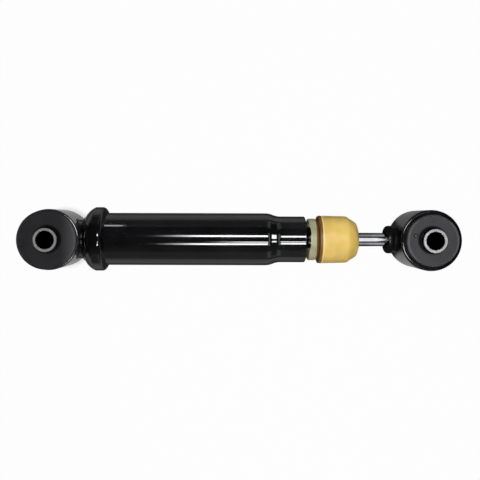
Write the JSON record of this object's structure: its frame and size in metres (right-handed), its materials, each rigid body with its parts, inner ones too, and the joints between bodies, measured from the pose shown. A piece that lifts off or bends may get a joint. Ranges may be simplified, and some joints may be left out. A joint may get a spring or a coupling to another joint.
{
  "type": "cab shock absorber",
  "caption": "Twin-tube hydraulic cab damper with rubber-bushed eyes at both ends, swaged black tube, yellow bump stop and chromed sliding rod.",
  "frame": {"origin": "centre of the base eye's bolt bore, midway along its sleeve", "axes": "+X along the damper from the base eye to the rod eye, +Z along the base eye's bolt and up, with the part lying on its sleeve ends"},
  "size_m": [0.348, 0.0518, 0.063],
  "materials": {
    "black_paint": "glossy black paint",
    "bush_rubber": "moulded rubber",
    "sleeve_steel": "cut and turned steel",
    "seat_plastic": "moulded, satin",
    "stop_polyurethane": "cast polyurethane, satin",
    "rod_chrome": "hard chrome, ground",
    "inner_steel": "plain steel",
    "sintered_iron": "sintered",
    "bush_bronze": "lined bronze",
    "seal_rubber": "moulded nitrile",
    "band_plastic": "filled low-friction band"
  },
  "bodies": {
    "cylinder": {"lower_eye_ring": "black_paint", "lower_bush_rubber": "bush_rubber", "lower_eye_stub": "black_paint", "base_cap": "black_paint", "reserve_tube": "black_paint", "pressure_tube": "inner_steel", "foot_valve_body": "sintered_iron", "foot_disc_1": "inner_steel", "foot_disc_2": "inner_steel", "foot_disc_3": "inner_steel", "foot_valve_pin": "inner_steel", "foot_valve_nut": "inner_steel", "foot_check_spring": "inner_steel", "rod_guide": "sintered_iron", "guide_bush": "bush_bronze", "guide_o_ring": "seal_rubber", "rod_seal": "seal_rubber", "seal_spring": "inner_steel", "seal_cover": "inner_steel", "dust_wiper": "seal_rubber", "stop_seat": "seat_plastic", "bump_stop": "stop_polyurethane"},
    "sliding_band": {"piston_band": "band_plastic"},
    "rod": {"piston_rod": "rod_chrome", "rod_collar": "black_paint", "upper_eye_ring": "black_paint", "upper_bush_rubber": "bush_rubber", "rebound_stop_ring": "inner_steel", "rebound_buffer": "seal_rubber", "piston_body": "sintered_iron", "piston_stop_plate": "inner_steel", "piston_check_spring": "inner_steel", "rebound_disc_1": "inner_steel", "rebound_disc_2": "inner_steel", "rebound_disc_3": "inner_steel", "rebound_washer": "inner_steel", "piston_nut": "inner_steel"},
    "piston_valve": {"piston_check_plate": "inner_steel"},
    "foot_valve": {"foot_check_plate": "inner_steel"},
    "lower_sleeve": {"lower_bush_sleeve": "sleeve_steel"},
    "upper_sleeve": {"upper_bush_sleeve": "sleeve_steel"}
  },
  "joints": [
    {"name": "rod_slide", "type": "slide", "parent": "cylinder", "child": "sliding_band", "axis": [1, 0, 0], "range_m": [-0.02025, 0.04]},
    {"name": "rod_swivel", "type": "hinge", "parent": "sliding_band", "child": "rod", "pos_m": [0.106, 0, 0], "axis": [1, 0, 0], "continuous": true},
    {"name": "lower_bush_twist", "type": "hinge", "parent": "cylinder", "child": "lower_sleeve", "pos_m": [0, 0, 0], "axis": [0, 0, 1], "range_deg": [-15, 15], "stiffness_Nm_per_rad": 43},
    {"name": "upper_bush_twist", "type": "hinge", "parent": "rod", "child": "upper_sleeve", "pos_m": [0.3, 0, 0], "axis": [0, 0, 1], "range_deg": [-15, 15], "stiffness_Nm_per_rad": 43},
    {"name": "piston_valve_lift", "type": "slide", "parent": "rod", "child": "piston_valve", "axis": [1, 0, 0], "range_m": [0, 0.001], "stiffness_N_per_m": 800, "deforming": ["piston_check_spring"]},
    {"name": "foot_valve_lift", "type": "slide", "parent": "cylinder", "child": "foot_valve", "axis": [1, 0, 0], "range_m": [0, 0.001], "stiffness_N_per_m": 800, "deforming": ["foot_check_spring"]}
  ]
}
